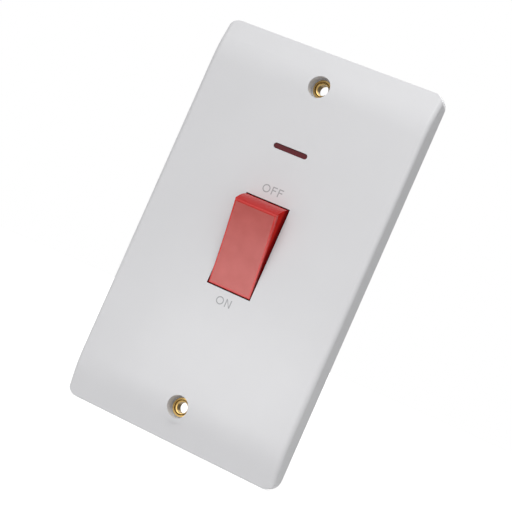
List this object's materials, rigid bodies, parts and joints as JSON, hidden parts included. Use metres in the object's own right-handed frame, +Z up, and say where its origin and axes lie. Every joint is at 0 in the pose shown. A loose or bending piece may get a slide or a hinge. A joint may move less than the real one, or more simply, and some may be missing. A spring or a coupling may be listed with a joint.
{
  "type": "double pole switch",
  "caption": "Flush wall switch on a tall moulded plate: red rocker, neon window, brass-lined fixing holes, two-pole see-saw mechanism behind.",
  "frame": {"origin": "centre of the plate's rear rim, on the wall's surface", "axes": "+Z up as installed, -Y towards the user, +X to the user's right"},
  "size_m": [0.086, 0.0286, 0.146],
  "materials": {
    "plate_urea": "fine satin moulded white urea-formaldehyde",
    "rocker_polycarbonate": "satin moulded red polycarbonate",
    "lens_polycarbonate": "polished deep red polycarbonate",
    "holder_nylon": "natural moulded nylon",
    "base_nylon": "matt moulded off-white glass-filled nylon",
    "plunger_acetal": "turned natural acetal",
    "brass": "turned and sawn brass, lightly bright",
    "blade_copper_alloy": "pressed copper alloy strip",
    "contact_silver": "coined silver contact facing",
    "spring_steel": "drawn spring wire",
    "screw_steel": "zinc plated steel",
    "lamp_glass": "drawn lead glass",
    "resistor_body": "lacquered ceramic",
    "lead_pvc": "extruded white PVC sleeve"
  },
  "bodies": {
    "plate_and_base": {"front_plate": "plate_urea", "neon_lens": "lens_polycarbonate", "neon_holder": "holder_nylon", "mechanism_base": "base_nylon", "terminal_screws": "brass", "earth_screw": "brass", "base_screws": "screw_steel", "neon_lamp": "lamp_glass", "neon_resistor": "resistor_body", "neon_lead_live": "lead_pvc", "neon_lead_neutral": "lead_pvc", "neon_tail": "lead_pvc", "earth_strap": "brass", "earth_terminal": "brass", "top_eyelet": "brass", "bottom_eyelet": "brass", "fixed_contact_live": "brass", "fixed_tip_live": "contact_silver", "fulcrum_bracket_live": "brass", "load_terminal_live": "brass", "supply_terminal_live": "brass", "fixed_contact_neutral": "brass", "fixed_tip_neutral": "contact_silver", "fulcrum_bracket_neutral": "brass", "load_terminal_neutral": "brass", "supply_terminal_neutral": "brass"},
    "rocker": {"rocker": "rocker_polycarbonate", "plunger_spring_live": "spring_steel", "plunger_spring_neutral": "spring_steel"},
    "plunger_live": {"plunger_live": "plunger_acetal"},
    "plunger_neutral": {"plunger_neutral": "plunger_acetal"},
    "blade_live": {"blade_live": "blade_copper_alloy", "blade_tip_live": "contact_silver"},
    "blade_neutral": {"blade_neutral": "blade_copper_alloy", "blade_tip_neutral": "contact_silver"}
  },
  "joints": [
    {"name": "rocker_pivot", "type": "hinge", "parent": "plate_and_base", "child": "rocker", "pos_m": [0, -0.005, 0], "axis": [1, 0, 0], "range_deg": [-30, 0]},
    {"name": "plunger_live_slide", "type": "slide", "parent": "rocker", "child": "plunger_live", "axis": [0, 0.9659, 0.2588], "range_m": [-0.0012, 0], "stiffness_N_per_m": 900, "springref_m": 0.0005, "deforming": ["plunger_spring_live"]},
    {"name": "blade_live_fulcrum", "type": "hinge", "parent": "plate_and_base", "child": "blade_live", "pos_m": [-0.0039, 0.0095, 0], "axis": [1, 0, 0], "range_deg": [0, 14]},
    {"name": "plunger_neutral_slide", "type": "slide", "parent": "rocker", "child": "plunger_neutral", "axis": [0, 0.9659, 0.2588], "range_m": [-0.0012, 0], "stiffness_N_per_m": 900, "springref_m": 0.0005, "deforming": ["plunger_spring_neutral"]},
    {"name": "blade_neutral_fulcrum", "type": "hinge", "parent": "plate_and_base", "child": "blade_neutral", "pos_m": [0.0039, 0.0095, 0], "axis": [1, 0, 0], "range_deg": [0, 14]}
  ],
  "couplings": [
    {"joint": "blade_live_fulcrum", "follows": "rocker_pivot", "ratio": -0.46667},
    {"joint": "blade_neutral_fulcrum", "follows": "rocker_pivot", "ratio": -0.46667}
  ]
}
